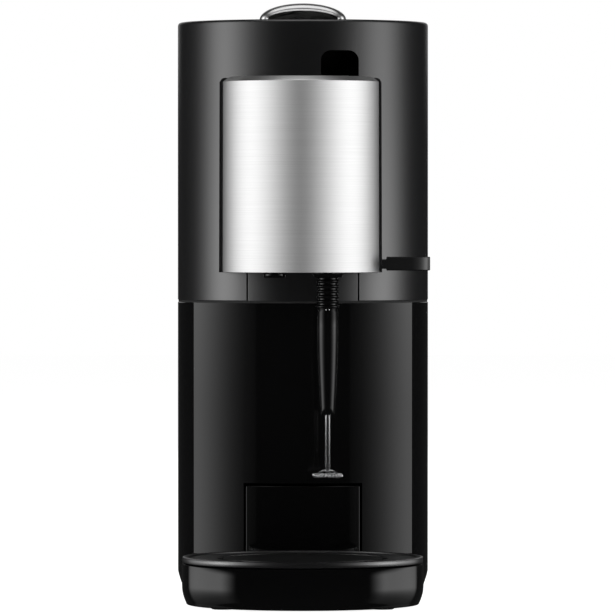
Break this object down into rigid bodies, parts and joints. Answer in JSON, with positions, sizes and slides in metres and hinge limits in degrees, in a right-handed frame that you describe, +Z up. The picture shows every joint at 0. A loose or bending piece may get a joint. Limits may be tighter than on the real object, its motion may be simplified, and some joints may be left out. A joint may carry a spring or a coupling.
{
  "type": "pod coffee machine",
  "caption": "Slim pod coffee machine with a round protruding brew head, a hand-lowered milk whisk, pod lever on top, pull-out drip tray and rear water tank.",
  "frame": {"origin": "middle of the machine's footprint, on the surface that its feet stand on", "axes": "+Z up, -Y towards the user at the front, +X to the user's right"},
  "size_m": [0.1312, 0.3492, 0.3075],
  "materials": {
    "satin_black": "satin black moulded plastic",
    "gloss_black": "polished black plastic",
    "button_black": "soft matt black",
    "steel_brushed": "horizontally brushed stainless steel",
    "steel_plain": "plain stainless steel",
    "dark_plastic": "matt dark grey plastic",
    "smoked_tank": "smoked transparent plastic",
    "rubber_black": "matt black rubber",
    "cast_metal": "cast aluminium",
    "circuit_board": "green laminate"
  },
  "bodies": {
    "chassis": {"base_chassis": "dark_plastic", "foot_front_left": "rubber_black", "foot_front_right": "rubber_black", "foot_rear_left": "rubber_black", "foot_rear_right": "rubber_black", "base_screw_front_left": "steel_plain", "base_screw_front_right": "steel_plain", "base_screw_rear_left": "steel_plain", "base_screw_rear_right": "steel_plain", "lower_column_shell": "gloss_black", "column_front_panel": "gloss_black", "upper_body_shell": "satin_black", "front_lower_panel": "satin_black", "top_panel": "satin_black", "rear_cover": "satin_black", "head_housing": "satin_black", "head_steel_cover": "steel_brushed", "head_bottom_plate": "dark_plastic", "coffee_spout": "gloss_black", "whisk_collar": "gloss_black", "coffee_duct": "rubber_black", "guide_rod_left": "steel_plain", "guide_rod_right": "steel_plain", "lever_pin": "steel_plain", "pod_chute": "dark_plastic", "brew_chamber": "cast_metal", "thermoblock": "cast_metal", "pump": "cast_metal", "pump_mount_front": "rubber_black", "pump_mount_rear": "rubber_black", "control_board": "circuit_board", "pump_hose": "rubber_black", "brew_hose": "rubber_black", "cable_gland": "rubber_black", "tank_seat": "dark_plastic"},
    "pod_lever": {"pod_lever": "steel_brushed"},
    "brew_piston": {"brew_piston": "dark_plastic", "needle_plate": "steel_plain"},
    "frother_carriage": {"frother_carriage": "dark_plastic", "frother_lever": "gloss_black", "frother_sleeve": "gloss_black", "frother_nozzle": "gloss_black", "frother_motor": "cast_metal", "drive_belt": "rubber_black"},
    "whisk": {"whisk": "steel_plain", "whisk_pulley": "dark_plastic"},
    "motor_pulley": {"motor_pulley": "dark_plastic"},
    "drip_tray": {"drip_tray": "gloss_black", "tray_foot_left": "rubber_black", "tray_foot_right": "rubber_black", "pod_bin": "dark_plastic"},
    "cup_support": {"cup_support": "satin_black"},
    "water_tank": {"water_tank": "smoked_tank", "tank_valve": "dark_plastic", "tank_seal": "rubber_black"},
    "tank_lid": {"tank_lid": "satin_black"},
    "button_left_front": {"button_left_front": "button_black"},
    "button_left_rear": {"button_left_rear": "button_black"},
    "button_right_front": {"button_right_front": "button_black"},
    "button_right_rear": {"button_right_rear": "button_black"}
  },
  "joints": [
    {"name": "pod_lever_hinge", "type": "hinge", "parent": "chassis", "child": "pod_lever", "pos_m": [0, 0.078, 0.3025], "axis": [-1, 0, 0], "range_deg": [0, 75]},
    {"name": "brew_piston_slide", "type": "slide", "parent": "chassis", "child": "brew_piston", "axis": [0, 0, -1], "range_m": [0, 0.0225]},
    {"name": "frother_slide", "type": "slide", "parent": "chassis", "child": "frother_carriage", "axis": [0, 0, 1], "range_m": [0, 0.085]},
    {"name": "whisk_spin", "type": "hinge", "parent": "frother_carriage", "child": "whisk", "pos_m": [0.0127, -0.09, 0.1], "axis": [0, 0, 1], "continuous": true},
    {"name": "motor_pulley_spin", "type": "hinge", "parent": "frother_carriage", "child": "motor_pulley", "pos_m": [0.019, -0.05, 0.176], "axis": [0, 0, 1], "continuous": true},
    {"name": "drip_tray_slide", "type": "slide", "parent": "chassis", "child": "drip_tray", "axis": [0, -1, 0], "range_m": [0, 0.13]},
    {"name": "cup_support_lift", "type": "slide", "parent": "drip_tray", "child": "cup_support", "axis": [0, 0, 1], "range_m": [0, 0.035]},
    {"name": "tank_lift", "type": "slide", "parent": "chassis", "child": "water_tank", "axis": [0, 0, 1], "range_m": [0, 0.26]},
    {"name": "tank_lid_hinge", "type": "hinge", "parent": "water_tank", "child": "tank_lid", "pos_m": [0, 0.1724, 0.2885], "axis": [-1, 0, 0], "range_deg": [0, 85]},
    {"name": "button_left_front_press", "type": "slide", "parent": "chassis", "child": "button_left_front", "axis": [0, 0, -1], "range_m": [0, 0.001], "stiffness_N_per_m": 400, "springref_m": -0.0005},
    {"name": "button_left_rear_press", "type": "slide", "parent": "chassis", "child": "button_left_rear", "axis": [0, 0, -1], "range_m": [0, 0.001], "stiffness_N_per_m": 400, "springref_m": -0.0005},
    {"name": "button_right_front_press", "type": "slide", "parent": "chassis", "child": "button_right_front", "axis": [0, 0, -1], "range_m": [0, 0.001], "stiffness_N_per_m": 400, "springref_m": -0.0005},
    {"name": "button_right_rear_press", "type": "slide", "parent": "chassis", "child": "button_right_rear", "axis": [0, 0, -1], "range_m": [0, 0.001], "stiffness_N_per_m": 400, "springref_m": -0.0005}
  ],
  "couplings": [
    {"joint": "brew_piston_slide", "follows": "pod_lever_hinge", "m_per_rad": 0.0168},
    {"joint": "whisk_spin", "follows": "motor_pulley_spin", "ratio": 1}
  ]
}
